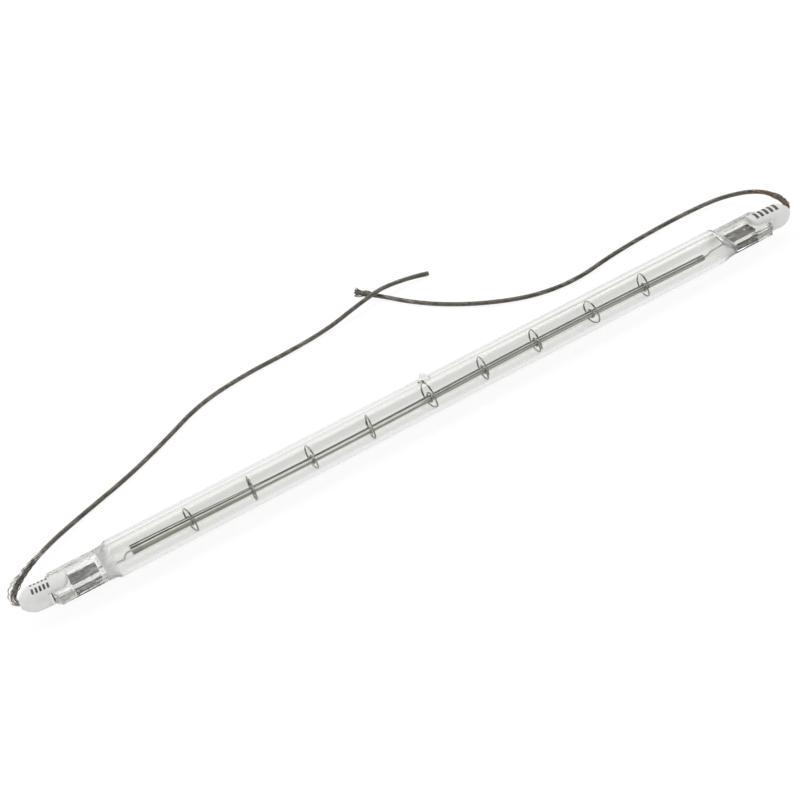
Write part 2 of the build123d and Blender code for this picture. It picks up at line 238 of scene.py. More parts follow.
FOLD_OPENINGS = {"left": (0.1, 0.6), "right": (0.1, 0.7)}
END_OPENINGS = {"left": (0.0, 0.3), "right": (0.2, 1.6)}
# distances along a lead, in millimetres, at which a change starts, is full, wanes and ends
FOLD_RUN = (1.5, 5.0, 8.0, 16.0)
LOOSE_RUN = (3.5, 9, 13, 23)
# where sprung strands at the left fold are bright: partly bare nickel, partly painted highlight
BARE_HIGHLIGHT_RUN = (1, 3, 20, 26)
HOT_RUN = (14, 24)
END_RUN = 7.0
# painted highlights that come and go along the strands: lengths of their waves, the crest where they show,
# and their share
HIGHLIGHT_WAVES = (3, 9)
HIGHLIGHT_CREST = (0.6, 0.95)
HIGHLIGHT_SHARE = 0.18

# looks of the quartz, and colours of the marks on foil and caps; relief depths are in metres
GRAIN_ROUGHNESS = 0.55
QUARTZ_IOR = 1.458
QUARTZ_COLOUR = (0.86, 0.866, 0.85)
# streaky olive grey painted reflections on the seal's edges
REFLECTION_STREAKS = [(0.35, (0.3, 0.305, 0.27)), (0.65, (0.62, 0.625, 0.59))]
DRAWN_LINES = 0.03
PRESS_RELIEF = 3.0
QUARTZ_RELIEF = 0.00005
FOIL_RELIEF = 0.00003
CERAMIC_RELIEF = 0.00002
CERAMIC_RELIEF_STRENGTH = 0.4
CEMENT_RELIEF = 0.0001
SOFT_ROUGHNESS = 0.35
WELD_COLOUR = (0.95, 0.94, 0.9)
INK_COLOUR = (0.012, 0.011, 0.01)

# bare metals: grain per metre along each axis, dark and pale colour, least and most roughness
METALS = {
    "support_wire": ((300, 300, 300), (0.08, 0.07, 0.055), (0.45, 0.43, 0.38), (0.15, 0.3)),
    "stiff_wire": ((400, 900, 900), (0.36, 0.35, 0.33), (0.6, 0.59, 0.57), (0.25, 0.4)),
    "sleeve_nickel": ((600, 600, 600), (0.30, 0.28, 0.25), (0.42, 0.40, 0.37), (0.35, 0.5)),
}

# camera
CAMERA_PLACE = (-0.1062, -0.2692, 0.2471)
CAMERA_AIM = (-0.00557, 0.00867, 0.0)
CAMERA_ROLL = -14.22
CAMERA_LENS = 69.17

# light: angle over the tube in degrees from the camera's side, with the tone of the sky there
SKY_TONES = [
    (0, 0.3), (16, 0.3), (20, 0.55), (55, 0.55), (60, 0.12), (76, 0.12), (80, 0.0), (105, 0.0), (106, 1.15),
    (124, 1.15), (134, 0.45), (146, 0.32), (160, 0.4), (175, 0.42),
]
SKY_LEVEL = 2.7

# table
FLOOR_REACH = 30.0
FLOOR_DROP = 0.00005
FLOOR_GREY = (0.9, 0.9, 0.9, 1)
FLOOR_GLOW = 1.03
FLOOR_GLOW_SHARE = 0.86


def smooth_step(low, high, values):
    """0 before low, 1 after high and 3t^2 - 2t^3 of the share t between them."""
    share = np.clip((values - low) / (high - low), 0.0, 1.0)
    return share * share * (3.0 - 2.0 * share)


def between(places, values):
    """0 before the first place, 1 from the second to the third and 0 after the last, with smooth changes."""
    start, full, wane, end = places
    return smooth_step(start, full, values) * (1 - smooth_step(wane, end, values))


def by_side(choices, x):
    """The left end's value where x is below zero, and the right end's elsewhere."""
    return np.where(x < 0, choices["left"], choices["right"])


def blunt(values, power):
    """A power of each value with its sign kept: of a circle's sine and cosine it makes a blunt square."""
    return np.sign(values) * np.abs(values) ** power


def ripple(place, waves):
    """The sum of sine waves over a place, each given by its height, rate and phase."""
    return sum(height * np.sin(rate * place + phase) for height, rate, phase in waves)


def round_angles(count):
    """Evenly spaced angles all the way round, as one row."""
    return np.linspace(0, TURN, count, endpoint=False)[None, :]


def unit(vectors):
    """Each vector divided by its own length."""
    return vectors / np.linalg.norm(vectors, axis=-1, keepdims=True)


def distance_along(path):
    """For each point of a line, the summed length of the straight pieces before it."""
    steps = np.linalg.norm(np.diff(path, axis=-2), axis=-1)
    first = np.zeros(steps.shape[:-1] + (1,))
    return np.concatenate([first, np.cumsum(steps, axis=-1)], axis=-1)


def rings_at(x, y, z):
    """Rings from each one's place along the lamp, and its points' y and height over the tube's axis."""
    return np.stack([np.broadcast_to(x, y.shape), y, np.broadcast_to(AXIS_Z + z, y.shape)], axis=-1)


def closed_flat(rings):
    """The rings with one more at each end, pressed flat at the height of the axis, which closes the loft."""
    closed = rings[[0, -1]] * (1, 1, 0) + (0, 0, AXIS_Z)
    return np.concatenate([closed[:1], rings, closed[1:]])


def to_side(side, rings):
    """Rings made for the right end, or for the left one mirrored in x with the row order turned round."""
    return rings if SIDES[side] > 0 else rings[::-1] * np.array([-1.0, 1.0, 1.0])


def turned_under(rings):
    """The same rings below the axis: the height changes sign, and the row order turns round with it."""
    return rings[::-1] * (1, 1, -1) + (0, 0, 2 * AXIS_Z)


def at_end(side, rings):
    """Carries rings made for the straight right end to their own end, with that cap's yaw about its pivot."""
    placed = to_side(side, rings)
    pivot = np.array([SIDES[side] * CAP_PIVOT, 0.0, 0.0])
    yaw = np.radians(CAP_YAWS[side])
    turn = np.array([[np.cos(yaw), -np.sin(yaw), 0], [np.sin(yaw), np.cos(yaw), 0], [0, 0, 1]])
    return (placed - pivot) @ turn.T + pivot


def wire_rings(path, radius, sides, reference):
    """Rings of a round wire: at each point of the line a circle in the plane square to it.

    The circle's first direction is square to both the line and the reference. A point closes each end.
    """
    along = unit(np.gradient(path, axis=-2))
    first = unit(np.cross(reference, along))
    second = np.cross(along, first)
    angle = np.arange(sides) * TURN / sides
    spoke = np.cos(angle)[:, None] * first[..., None, :] + np.sin(angle)[:, None] * second[..., None, :]
    rings = path[..., None, :] + np.asarray(radius)[..., None, None] * spoke
    ends = np.broadcast_to(path[..., None, :], rings.shape)
    return np.concatenate([ends[..., :1, :, :], rings, ends[..., -1:, :, :]], axis=-3)


def piece_of_rings(name, lofts, material, replaces, marks=None, sharp=40.0):
    """One piece made of lofts: closed rings, row after row, joined by four-sided faces.

    Points that lie on one another are merged, which closes the ends. Marks are values kept on the points.
    """
    faces = []
    start = 0
    for rings in lofts:
        index = np.arange(rings.shape[0] * rings.shape[1]).reshape(rings.shape[:2]) + start
        near, far = index[:-1], index[1:]
        quads = [near, np.roll(near, -1, axis=1), np.roll(far, -1, axis=1), far]
        faces.append(np.stack(quads, axis=-1).reshape(-1, 4))
        start += index.size
    points = np.concatenate([rings.reshape(-1, 3) for rings in lofts]) * MM
    faces = np.concatenate(faces)
    mesh = bpy.data.meshes.new(name)
    mesh.vertices.add(len(points))
    mesh.vertices.foreach_set("co", points.ravel())
    mesh.loops.add(faces.size)
    mesh.loops.foreach_set("vertex_index", faces.ravel())
    mesh.polygons.add(len(faces))
    mesh.polygons.foreach_set("loop_start", np.arange(0, faces.size, 4))
    mesh.update(calc_edges=True)
    for mark, values in (marks or {}).items():
        layer = mesh.attributes.new(mark, "FLOAT", "POINT")
        layer.data.foreach_set("value", np.concatenate([np.ravel(part) for part in values]))
    shape = bmesh.new()
    shape.from_mesh(mesh)
    bmesh.ops.remove_doubles(shape, verts=shape.verts, dist=MERGE_DISTANCE)
    shape.to_mesh(mesh)
    shape.free()
    mesh.shade_smooth()
    mesh.set_sharp_from_angle(angle=np.radians(sharp))
    mesh.materials.append(material)
    piece = bpy.data.objects.new(name, mesh)
    bpy.context.scene.collection.objects.link(piece)
    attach(piece, "root")
    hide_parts(*replaces)
    return piece


def add(tree, kind, values=None, **settings):
    """A node with its settings and socket values."""
    node = tree.nodes.new(kind)
    for key, value in settings.items():
        setattr(node, key, value)
    for key, value in (values or {}).items():
        node.inputs[key].default_value = value
    return node


def new_material(name, **sockets):
    """A material, its node tree and its main shader with the given socket values."""
    material = bpy.data.materials.new(name)
    material.use_nodes = True
    shader = material.node_tree.nodes["Principled BSDF"]
    for key, value in sockets.items():
        shader.inputs[key.replace("_", " ")].default_value = value
    return material, material.node_tree, shader


def grain(tree, scale, detail=3.0):
    """A noise over the piece's own coordinates, with one scale for each direction, per metre."""
    place = add(tree, "ShaderNodeTexCoord")
    stretch = add(tree, "ShaderNodeMapping", {"Scale": scale})
    noise = add(tree, "ShaderNodeTexNoise", {"Scale": 1.0, "Detail": detail, "Roughness": GRAIN_ROUGHNESS})
    tree.links.new(place.outputs["Object"], stretch.inputs["Vector"])
    tree.links.new(stretch.outputs["Vector"], noise.inputs["Vector"])
    return noise.outputs["Fac"]


def tint(tree, source, stops):
    """Colours picked from a row of stops, each a place from 0 to 1 and a colour."""
    ramp = add(tree, "ShaderNodeValToRGB")
    elements = ramp.color_ramp.elements
    while len(elements) < len(stops):
        elements.new(0.5)
    for element, (place, colour) in zip(elements, stops):
        element.position = place
        element.color = (*colour, 1.0)
    tree.links.new(source, ramp.inputs["Fac"])
    return ramp.outputs["Color"]


def spread(tree, source, low, high):
    """A noise value carried from the middle of its range to low and high."""
    node = add(tree, "ShaderNodeMapRange", {"From Min": 0.3, "From Max": 0.7, "To Min": low, "To Max": high})
    tree.links.new(source, node.inputs["Value"])
    return node.outputs["Result"]


def relief(tree, shader, height, distance, strength=1.0):
    """Surface relief of the given depth, in metres."""
    bump = add(tree, "ShaderNodeBump", {"Distance": distance, "Strength": strength})
    tree.links.new(height, bump.inputs["Height"])
    tree.links.new(bump.outputs["Normal"], shader.inputs["Normal"])


def combine(tree, operation, first, second):
    """One sum, product or comparison of two values; a plain number may stand for the second."""
    node = add(tree, "ShaderNodeMath", operation=operation)
    tree.links.new(first, node.inputs[0])
    if isinstance(second, float):
        node.inputs[1].default_value = second
    else:
        tree.links.new(second, node.inputs[1])
    return node.outputs["Value"]


def mark_value(tree, name):
    """A value that was kept on the points of the piece."""
    return add(tree, "ShaderNodeAttribute", attribute_name=name).outputs["Fac"]


def blend(tree, share, first, second):
    """Two colours mixed by a share."""
    node = add(tree, "ShaderNodeMix", data_type="RGBA")
    tree.links.new(share, node.inputs["Factor"])
    colours = [socket for socket in node.inputs if socket.type == "RGBA"]
    for socket, colour in zip(colours, (first, second)):
        if isinstance(colour, tuple):
            socket.default_value = (*colour, 1.0)
        else:
            tree.links.new(colour, socket)
    return [socket for socket in node.outputs if socket.type == "RGBA"][0]


def clear_quartz():
    """Clear drawn quartz: faint lines along the tube, press marks on the seals and olive grey seal edges,
    streaked with painted dark reflections.

    Marks on its points make the shoulders softer, and the shoulders and the stub a little milky. The plain
    transmission stands for clear glass wherever only the socket's own value is read.
    """
    material, tree, shader = new_material("clear_quartz", IOR=QUARTZ_IOR, Transmission_Weight=1.0)
    drawn = combine(tree, "MULTIPLY", grain(tree, (25, 600, 600)), DRAWN_LINES)
    pressed = combine(tree, "MULTIPLY", grain(tree, (180, 1300, 1300), 2.0), mark_value(tree, "pressed"))
    pressed = combine(tree, "MULTIPLY", pressed, PRESS_RELIEF)
    relief(tree, shader, combine(tree, "ADD", drawn, pressed), QUARTZ_RELIEF)
    soft = combine(tree, "MULTIPLY", mark_value(tree, "soft"), SOFT_ROUGHNESS)
    tree.links.new(soft, shader.inputs["Roughness"])
    tree.links.new(mark_value(tree, "clearness"), shader.inputs["Transmission Weight"])
    # painted dark reflections, streaked, on the seal's flanges and rims
    reflection_streak = tint(tree, grain(tree, (120, 1500, 1500)), REFLECTION_STREAKS)
    edge = blend(tree, mark_value(tree, "edge"), QUARTZ_COLOUR, reflection_streak)
    tree.links.new(edge, shader.inputs["Base Color"])
    return material


def tungsten_coil():
    """Tungsten wire with painted light in stripes along the coil: white painted highlights, olive grey and
    grey painted reflections, and dark painted reflections.

    The stripes go by the angle round the coil, and their number changes twice along it. The last turns, where
    the inner leads are plugged in, are darker with painted shade.
    """
    material, tree, shader = new_material("tungsten_coil", Metallic=1.0)
    noise = grain(tree, (700, 900, 900))
    around = mark_value(tree, "around")
    # painted light: white stripes are painted highlights, olive and grey stripes are painted reflections, and
    # the dark colour is painted dark reflection and painted shade
    grey, painted_dark = (0.3, 0.29, 0.25), (0.02, 0.02, 0.02)
    olive, white = (0.38, 0.37, 0.295), (1.0, 0.99, 0.95)
    broad = tint(tree, around, [
        (0.0, olive), (0.15, olive), (0.2, white), (0.36, white), (0.41, painted_dark), (0.52, painted_dark), (0.58, grey),
    ])
    low, rise, pale = (0.38, 0.37, 0.3), (0.5, 0.49, 0.42), (0.95, 0.94, 0.9)
    split = tint(tree, around, [
        (0.0, low), (0.16, rise), (0.19, painted_dark), (0.255, painted_dark), (0.28, pale), (0.38, pale), (0.41, painted_dark),
        (0.51, painted_dark), (0.56, grey),
    ])
    dull, silver, steel = (0.33, 0.32, 0.255), (0.8, 0.79, 0.75), (0.6, 0.59, 0.55)
    close = tint(tree, around, [
        (0.0, dull), (0.19, dull), (0.22, silver), (0.29, silver), (0.32, painted_dark), (0.41, painted_dark), (0.44, steel),
        (0.49, steel), (0.52, painted_dark), (0.63, painted_dark), (0.69, grey),
    ])
    colour = blend(tree, mark_value(tree, "left"), broad, close)
    colour = blend(tree, mark_value(tree, "right"), colour, split)
    # painted shade on the turns round the plug
    plugged = combine(tree, "MULTIPLY", mark_value(tree, "plugged"), PLUG_SHADE)
    colour = blend(tree, plugged, colour, painted_dark)
    tree.links.new(colour, shader.inputs["Base Color"])
    tree.links.new(spread(tree, noise, 0.35, 0.5), shader.inputs["Roughness"])
    return material


def bare_metal(name):
    """Bare metal, uneven in tone and gloss: a noise runs from its dark colour to its pale one."""
    scale, dark, pale, roughness = METALS[name]
    material, tree, shader = new_material(name, Metallic=1.0)
    noise = grain(tree, scale)
    colour = tint(tree, noise, [(0.3, dark), (0.7, pale)])
    tree.links.new(colour, shader.inputs["Base Color"])
    tree.links.new(spread(tree, noise, *roughness), shader.inputs["Roughness"])
    return material


def seal_foil(side):
    """Grey molybdenum foil, uneven where the quartz was pressed on it; the right one is darker and warmer."""
    material, tree, shader = new_material(f"seal_foil_{side}", Metallic=0.9)
    noise = grain(tree, (300, 1100, 900), 5.0)
    low, high = FOIL_TONES[side]
    colour = tint(tree, noise, [(0.42, low), (0.6, high)])
    colour = blend(tree, mark_value(tree, "weld"), colour, WELD_COLOUR)
    tree.links.new(colour, shader.inputs["Base Color"])
    tree.links.new(spread(tree, noise, 0.35, 0.6), shader.inputs["Roughness"])
    relief(tree, shader, noise, FOIL_RELIEF)
    return material


def white_ceramic():
    """Matt white ceramic with a fine grain and two rows of plain ink bars."""
    material, tree, shader = new_material("white_ceramic")
    cloud = grain(tree, (250, 250, 250), 4.0)
    body = tint(tree, cloud, [(0.3, (0.62, 0.615, 0.6)), (0.7, (0.68, 0.68, 0.67))])
    axial = mark_value(tree, "axial")
    around = mark_value(tree, "around")
    ink = combine(tree, "GREATER_THAN", combine(tree, "PINGPONG", axial, INK_HALF_PITCH), INK_BAR_EDGE)
    for operation, limit in (("GREATER_THAN", 0.0), ("LESS_THAN", 1.0)):
        ink = combine(tree, "MULTIPLY", ink, combine(tree, operation, axial, limit))
    rows = None
    for low, high in INK_ROWS:
        row = combine(tree, "GREATER_THAN", around, low)
        row = combine(tree, "MULTIPLY", row, combine(tree, "LESS_THAN", around, high))
        rows = combine(tree, "ADD", rows, row) if rows else row
    ink = combine(tree, "MULTIPLY", ink, rows)
    ink = combine(tree, "MULTIPLY", ink, spread(tree, grain(tree, (1800, 1800, 1800)), 0.85, 1.0))
    tree.links.new(blend(tree, ink, body, INK_COLOUR), shader.inputs["Base Color"])
    tree.links.new(spread(tree, cloud, 0.5, 0.65), shader.inputs["Roughness"])
    pores = grain(tree, (5000, 5000, 5000), 2.0)
    relief(tree, shader, pores, CERAMIC_RELIEF, CERAMIC_RELIEF_STRENGTH)
    return material


def cap_cement():
    """Sandy off-white cement."""
    material, tree, shader = new_material("cement", Roughness=0.85)
    noise = grain(tree, (1500, 1500, 1500), 5.0)
    colour = tint(tree, noise, [(0.3, (0.82, 0.81, 0.79)), (0.7, (0.9, 0.9, 0.88))])
    tree.links.new(colour, shader.inputs["Base Color"])
    relief(tree, shader, noise, CEMENT_RELIEF)
    return material


def strand_nickel():
    """Oxidised nickel strands: brown where they were hot, and bright where the oxide came off in a bend. The
    bright colour is also painted highlight, at the fold and in streaks along the strands.
    """
    material, tree, shader = new_material("strand_nickel", Metallic=1.0)
    noise = grain(tree, (700, 700, 700), 4.0)
    worn = tint(tree, noise, [
        (0.3, (0.10, 0.09, 0.078)), (0.65, (0.17, 0.155, 0.135)), (0.85, (0.26, 0.245, 0.22)),
    ])
    brown = tint(tree, noise, [(0.3, (0.09, 0.065, 0.045)), (0.7, (0.2, 0.15, 0.105))])
    # bright nickel, for bare strands and for painted highlights
    bright = tint(tree, noise, [(0.35, (0.22, 0.21, 0.19)), (0.6, (0.78, 0.76, 0.72))])
    colour = blend(tree, mark_value(tree, "hot"), worn, brown)
    tree.links.new(blend(tree, mark_value(tree, "bare_and_highlight"), colour, bright), shader.inputs["Base Color"])
    tree.links.new(spread(tree, noise, 0.3, 0.45), shader.inputs["Roughness"])
    return material


def lead_line(route):
    """Points of a smooth line drawn by the route's points, read from an open curve of the third order."""
    curve = bpy.data.curves.new("lead_line", "CURVE")
    curve.dimensions = "3D"
    curve.resolution_u = LEAD_CURVE_STEPS
    spline = curve.splines.new("NURBS")
    spline.points.add(len(route) - 1)
    spline.points.foreach_set("co", np.column_stack([route, np.ones(len(route))]).ravel())
    spline.order_u = LEAD_CURVE_ORDER
    spline.use_endpoint_u = True
    holder = bpy.data.objects.new("lead_line", curve)
    mesh = bpy.data.meshes.new_from_object(holder)
    line = np.empty(len(mesh.vertices) * 3)
    mesh.vertices.foreach_get("co", line)
    bpy.data.objects.remove(holder)
    bpy.data.curves.remove(curve)
    bpy.data.meshes.remove(mesh)
    return line.reshape(-1, 3)


def flexible_lead(side, material):
    """An uninsulated lead of nineteen strands laid in three layers round the line of its route.

    Each strand circles the line once in the lay length, at its layer's radius. The layers open a little where
    the lead folds back at the cap, and the strands part at the cut end of the right lead. Some strands of the
    left one spring out at its fold, where their bright colour is partly bare nickel and partly painted
    highlight. Painted highlights also come and go along every strand. None goes below the table.
    """
    line = lead_line(LEAD_ROUTES[side])
    path = line / MM
    run = distance_along(path)
    along = unit(np.gradient(path, axis=0))
    first = unit(np.cross((0.0, 0.0, 1.0), along))
    second = np.cross(along, first)
    layer = np.repeat(LAYER_RADII, LAYER_STRANDS)
    start = np.concatenate([np.arange(count) * TURN / count for count in LAYER_STRANDS])
    rng = np.random.default_rng(STRAND_SEEDS[side])
    open_fold = rng.uniform(*FOLD_OPENINGS[side], layer.size)[:, None]
    open_end = rng.uniform(*END_OPENINGS[side], layer.size)[:, None]
    end = smooth_step(run[-1] - END_RUN, run[-1], run)
    angle = start[:, None] + TURN * run / STRAND_LAY
    reach = layer[:, None] * (1 + open_fold * between(FOLD_RUN, run) + open_end * end)
    strands = path + reach[..., None] * (np.cos(angle)[..., None] * first + np.sin(angle)[..., None] * second)
    sprung = np.isin(np.arange(layer.size), LOOSE_STRANDS[side])
    loose = np.where(sprung, rng.uniform(*LOOSE_SHARES, layer.size), 0.0)[:, None]
    strands = strands + (loose * between(LOOSE_RUN, run))[..., None] * np.array(LOOSE_REACH)
    strands[..., 2] = np.maximum(strands[..., 2], STRAND_RADIUS)
    rings = wire_rings(strands, np.full(angle.shape, STRAND_RADIUS), STRAND_SIDES, (0.0, 0.0, 1.0))
    hot = (1 - smooth_step(*HOT_RUN, run)) * (side == "right")
    # sprung strands bright at the fold: partly bare nickel, partly painted highlight
    bare_and_highlight = (loose > 0) * between(BARE_HIGHLIGHT_RUN, run)
    # painted highlights in streaks along each strand, added to the bright mark
    wave = rng.uniform(*HIGHLIGHT_WAVES, layer.size)[:, None]
    highlight_wave = np.sin(run / wave + rng.uniform(0, TURN, layer.size)[:, None])
    bare_and_highlight = np.maximum(bare_and_highlight, HIGHLIGHT_SHARE * smooth_step(*HIGHLIGHT_CREST, highlight_wave))
    marks = {}
    for mark, values in (("hot", np.broadcast_to(hot, bare_and_highlight.shape)), ("bare_and_highlight", bare_and_highlight)):
        closed = np.concatenate([values[:, :1], values, values[:, -1:]], axis=1)
        marks[mark] = [np.repeat(closed, STRAND_SIDES, axis=1)]
    name = f"stranded_lead_{side}"
    piece = piece_of_rings(name, list(rings), material, [f"flexible_lead_{side}"], marks)
    return piece


def seal_outline(share, half_width, half_height, radius):
    """A rectangle with round edges, walked by share of its length from the middle of its +Y side upward.

    In each quarter the walk goes up the side, round the edge and along the face to the middle.
    """
    quarter = np.floor(share * 4)
    part = share * 4 - quarter
    part = np.where(quarter % 2 == 0, part, 1 - part)
    up = half_height - radius
    across = half_width - radius
    walked = part * (up + radius * np.pi / 2 + across)
    rise = np.minimum(walked, up)
    bend = np.clip((walked - up) / radius, 0, np.pi / 2)
    run = np.clip(walked - up - radius * np.pi / 2, 0, across)
    y = across + radius * np.cos(bend) - run
    z = rise + radius * np.sin(bend)
    return np.where((quarter == 0) | (quarter == 3), y, -y), np.where(quarter < 2, z, -z)


def pocket_share(x, y):
    """1 in the sunk face of the seal, 0 outside it, from the distance to its outline with round corners."""
    out_x = POCKET_START + POCKET_CORNER - x
    out_y = np.maximum(y - POCKET_FAR, -y - POCKET_NEAR) + POCKET_CORNER
    corner = np.hypot(np.maximum(out_x, 0), np.maximum(out_y, 0))
    distance = corner + np.minimum(np.maximum(out_x, out_y), 0) - POCKET_CORNER
    return 1 - smooth_step(-POCKET_SOFTNESS, POCKET_SOFTNESS, distance)


def from_stub(x, angle):
    """Distance of points on the tube from the stub's middle, measured along and round the tube."""
    return np.hypot(x - STUB_X, TUBE_RADIUS * (angle - STUB_ANGLE))


def flattened(flat, radius, angle, y, z):
    """The points of a circle mixed with those of the seal's section by the share that is flat."""
    return (1 - flat) * radius * np.cos(angle) + flat * y, (1 - flat) * radius * np.sin(angle) + flat * z


def envelope_outside():
    """The outside of the quartz: a circle that turns into the seal's section between tube and seal.

    The change follows 3t^2 - 2t^3 of the distance t along the shoulder. Pockets sink both faces of the seal,
    its corners are cut, and the exhaust stub is a round bump of the tube. The marks of press, softness, milk
    and painted edge reflection come with the rings.
    """
    half = np.concatenate([
        np.linspace(PLAIN_RINGS_START, ROUND_HALF, 22)[:-1],
        np.linspace(ROUND_HALF, SEAL_START, 26),
        np.linspace(SEAL_START, POCKET_RINGS_END, 18)[1:],
        np.linspace(POCKET_RINGS_END, FACE_RINGS_END, 8)[1:],
        SLOT_START + np.array(SLOT_RINGS),
        np.linspace(TONGUE_RINGS_START, CORNER_RINGS_START, 6),
        np.linspace(CORNER_RINGS_START, SEAL_END - SEAL_END_ROUNDING, 12)[1:],
        SEAL_END - SEAL_END_ROUNDING * (1 - np.sin(np.linspace(0, np.pi / 2, 6)[1:])),
    ])
    stub = np.linspace(STUB_X - STUB_RINGS_REACH, STUB_X + STUB_RINGS_REACH, 41)
    x = np.concatenate([-half[::-1], stub, half])[:, None]
    away = np.abs(x)
    share = np.linspace(0, 1, RING_POINTS, endpoint=False)[None, :]
    flat = smooth_step(ROUND_HALF, SEAL_START, away)
    angle = share * TURN
    off = from_stub(x, angle)
    radius = TUBE_RADIUS + STUB_HEIGHT * (1 - smooth_step(STUB_TIP_RADIUS, STUB_FOOT_RADIUS, off))
    into = np.maximum(away - (SEAL_END - SEAL_END_ROUNDING), 0)
    rounding = SEAL_END_ROUNDING - np.sqrt(SEAL_END_ROUNDING**2 - into**2)
    half_width = SEAL_HALF_WIDTH - np.maximum(away - (SEAL_END - SEAL_CORNER_CUT), 0) - rounding
    y, z = seal_outline(share, half_width, SEAL_HALF_HEIGHT - rounding, SEAL_EDGE_RADIUS)
    depth = POCKET_DEPTH * pocket_share(away, y)
    slot = smooth_step(SLOT_START - SLOT_SOFTNESS, SLOT_START + SLOT_SOFTNESS, away)
    beside = smooth_step(SLOT_HALF_WIDTH - SLOT_SOFTNESS, SLOT_HALF_WIDTH + SLOT_SOFTNESS, np.abs(y))
    depth = depth + slot * (1 - beside) * (SEAL_HALF_HEIGHT - depth)
    z = np.sign(z) * np.maximum(np.abs(z) - depth, np.minimum(np.abs(z), WEB_REST))
    y, z = flattened(flat, radius, angle, y, z)
    pressed = np.broadcast_to(flat * by_side(PRESS_MARKS, x), y.shape)
    bend = np.broadcast_to(between(SHOULDER_MARK, away), y.shape)
    shoulder = bend * smooth_step(*SHOULDER_SIDES, np.abs(y))
    nib = 1 - smooth_step(STUB_FOOT_RADIUS, STUB_MARK_END, off)
    soft = np.maximum((bend + shoulder) / 2, nib)
    milky = np.maximum(by_side(MILKY_SHOULDERS, x) * shoulder, MILKY_STUB * nib)
    # painted dark reflections on the flanges beside the pockets and on the seal's rounded sides
    flange = by_side(FLANGE_PAINTED_REFLECTIONS, x) * (1 - pocket_share(away, y))
    edge = flat * (flange + RIM_PAINTED_REFLECTION * smooth_step(*RIM_EDGE, y))
    marks = [np.concatenate([mark[:1], mark, mark[-1:]]) for mark in (pressed, soft, milky, edge)]
    return closed_flat(rings_at(x, y, z)), *marks


def envelope_inside():
    """The bore: a circle that flattens towards each end as the outside does, with a dip below the stub."""
    half = np.concatenate([
        np.linspace(PLAIN_RINGS_START, BORE_ROUND_HALF, 20)[:-1],
        np.linspace(BORE_ROUND_HALF, BORE_END, 24),
    ])
    stub = np.linspace(STUB_X - HOLLOW_RINGS_REACH, STUB_X + HOLLOW_RINGS_REACH, 41)
    x = np.concatenate([-half[::-1], stub, half])[:, None]
    share = np.linspace(0, 1, RING_POINTS, endpoint=False)[None, :]
    angle = share * TURN
    flat = smooth_step(BORE_ROUND_HALF, BORE_END, np.abs(x))
    off = from_stub(x, angle)
    radius = BORE_RADIUS + STUB_HOLLOW_DEPTH * (1 - smooth_step(STUB_TIP_RADIUS, STUB_HOLLOW_RADIUS, off))
    y, z = seal_outline(share, BORE_END_HALF_WIDTH, BORE_END_HALF_HEIGHT, BORE_END_EDGE)
    y, z = flattened(flat, radius, angle, y, z)
    return closed_flat(rings_at(x, y, z))[::-1]


def quartz_envelope(material):
    """The clear tube with its two pressed seals: outside and bore."""
    outside, pressed, soft, milky, edge = envelope_outside()
    inside = envelope_inside()
    squeezed = smooth_step(BORE_ROUND_HALF, BORE_ROUND_HALF + SQUEEZED_LENGTH, np.abs(inside[..., 0]))
    clear = np.zeros(inside.shape[:2])
    marks = {
        "pressed": [pressed, clear],
        "soft": [soft, squeezed],
        "clearness": [1 - milky, 1 - clear],
        "edge": [edge, clear],
    }
    return piece_of_rings(
        "quartz_tube", [outside, inside], material, ["quartz_envelope"], marks, sharp=50.0
    )


def coil_height(x):
    """Height of the coil's middle: it bows by a polynomial of x, which counts as 1 at the coil's end."""
    return COIL_Z - np.polyval(COIL_BOW, x / COIL_HALF)


def filament_coil(material):
    """The close-wound coil as one skin, whose radius dips by the square of the way from each turn's crest.

    The crest screws round the coil once in the pitch.
    """
    x = np.linspace(-COIL_HALF, COIL_HALF, int(2 * COIL_HALF / COIL_PITCH * COIL_ROWS_PER_TURN))[:, None]
    angle = round_angles(24)
    turn = x / COIL_PITCH - angle / TURN
    radius = COIL_RADIUS - COIL_DIP * (2 * (turn - np.floor(turn)) - 1) ** 2
    radius = radius + COIL_SWELL * np.clip((COIL_SWELL_START - x) / COIL_SWELL_LENGTH, 0, 1)
    middle = coil_height(x)
    rings = np.stack([x + 0 * angle, radius * np.cos(angle), middle + radius * np.sin(angle)], axis=-1)
    axis = np.stack([x + 0 * angle, 0 * radius, middle + 0 * angle], axis=-1)
    rings = np.concatenate([axis[:1], rings, axis[-1:]])
    # place round the coil, which picks the painted highlight and reflection stripes
    around = np.broadcast_to(np.abs(angle / np.pi - 1), rings.shape[:2])
    left = 1 - smooth_step(*CLOSE_STRIPES_END, rings[..., 0])
    right = smooth_step(*SPLIT_STRIPES_START, rings[..., 0])
    plugged = smooth_step(*COIL_PLUG, np.abs(rings[..., 0]))
    marks = {"around": [around], "left": [left], "right": [right], "plugged": [plugged]}
    return piece_of_rings("coiled_filament", [rings], material, ["filament_coil"], marks)


